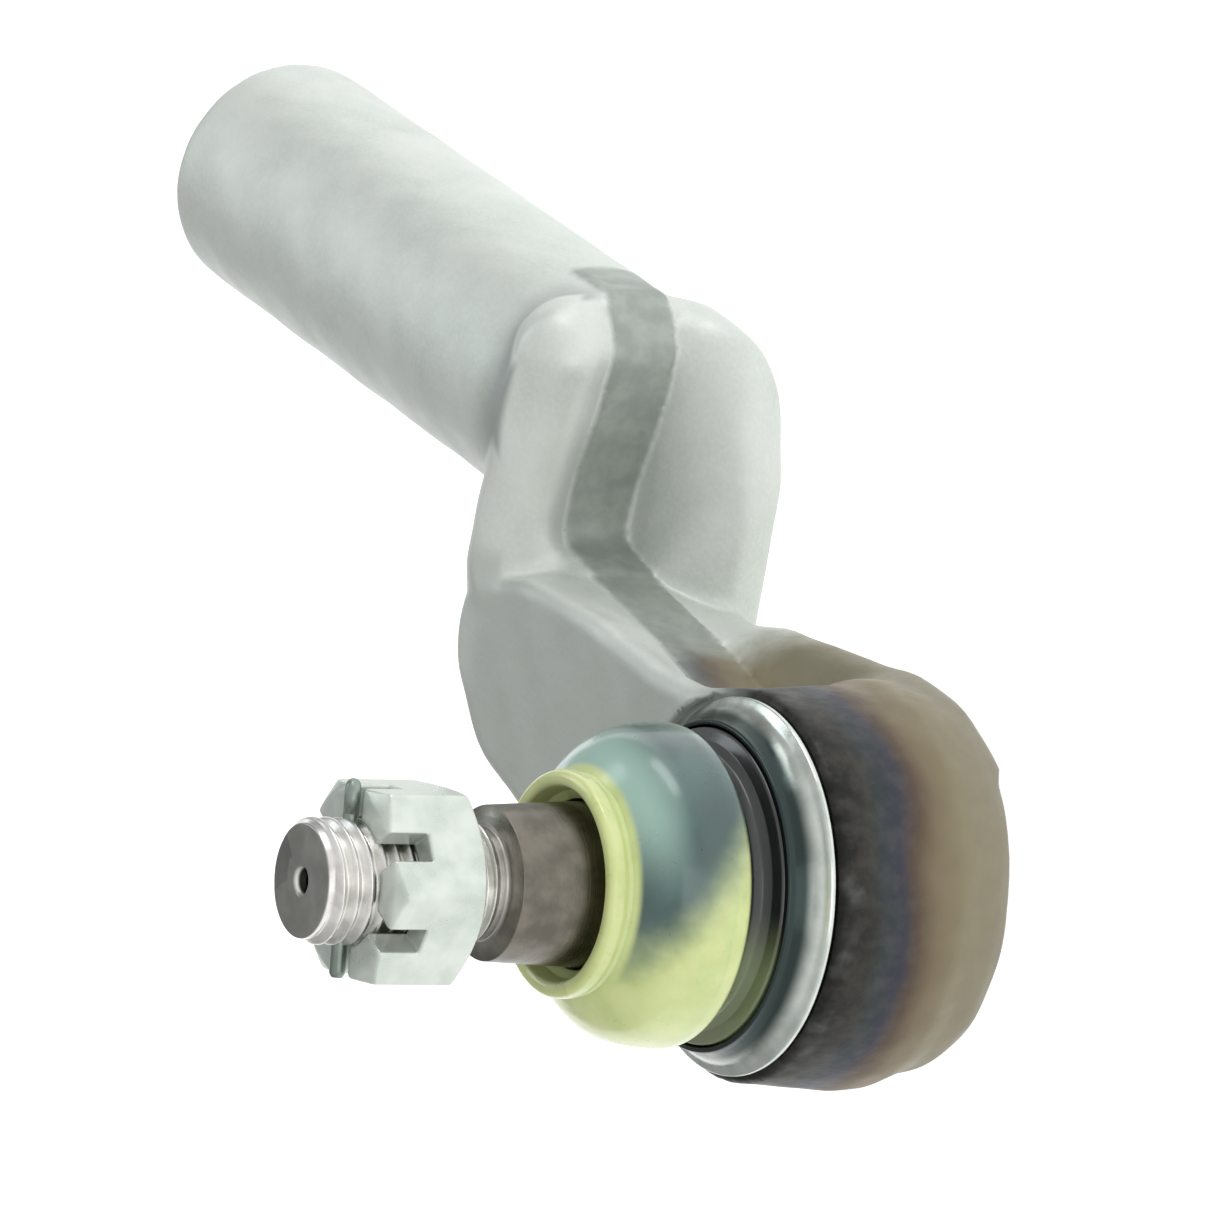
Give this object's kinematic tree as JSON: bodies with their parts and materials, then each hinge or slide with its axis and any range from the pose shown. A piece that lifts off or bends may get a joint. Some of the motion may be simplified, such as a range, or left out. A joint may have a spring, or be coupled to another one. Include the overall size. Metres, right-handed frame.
{
  "type": "tie rod end",
  "caption": "Cranked steering tie rod end with a female-threaded shank, a ball stud with slotted nut and split pin, and a flexible dust boot.",
  "frame": {"origin": "gauge plane of the stud's taper: the large end of the 1:10 cone, on the stud axis", "axes": "+Z along the stud towards the nut; +X along the shank towards its open end; the shank axis stands off the stud axis towards -Y"},
  "size_m": [0.3051, 0.1222, 0.1465],
  "materials": {
    "forged_steel": "satin",
    "stud_steel": "satin",
    "zinc_plate": "satin",
    "pin_wire": "satin",
    "bearing_polymer": "matte",
    "spring_steel": "satin",
    "cover_steel": "satin",
    "seal_rubber": "matte",
    "boot_elastomer": "gloss",
    "insert_steel": "satin",
    "zinc_ring": "gloss"
  },
  "bodies": {
    "housing": {"housing_forging": "forged_steel", "upper_bearing_shell": "bearing_polymer", "preload_spring": "spring_steel", "closing_cap": "cover_steel", "cap_seal": "seal_rubber", "boot_retaining_ring": "zinc_ring"},
    "lower_seat": {"lower_bearing_shell": "bearing_polymer", "thrust_plate": "spring_steel"},
    "boot": {"dust_boot": "boot_elastomer"},
    "boot_collar": {"boot_stiffener_ring": "insert_steel"},
    "stud": {"ball_stud": "stud_steel", "castle_nut": "zinc_plate", "cotter_pin": "pin_wire"}
  },
  "joints": [
    {"name": "seat_slide", "type": "slide", "parent": "housing", "child": "lower_seat", "axis": [0, 0, -1], "range_m": [0, 0.0004], "stiffness_N_per_m": 20000, "deforming": ["preload_spring"]},
    {"name": "stud_swing_x", "type": "hinge", "parent": "housing", "child": "boot", "pos_m": [0, 0, -0.0445], "axis": [1, 0, 0], "range_deg": [-17, 17], "deforming": ["dust_boot"]},
    {"name": "stud_swing_y", "type": "hinge", "parent": "boot", "child": "boot_collar", "pos_m": [0, 0, -0.0445], "axis": [0, 1, 0], "range_deg": [-17, 17], "deforming": ["dust_boot"]},
    {"name": "stud_spin", "type": "hinge", "parent": "boot_collar", "child": "stud", "pos_m": [0, 0, -0.0445], "axis": [0, 0, 1], "continuous": true}
  ]
}
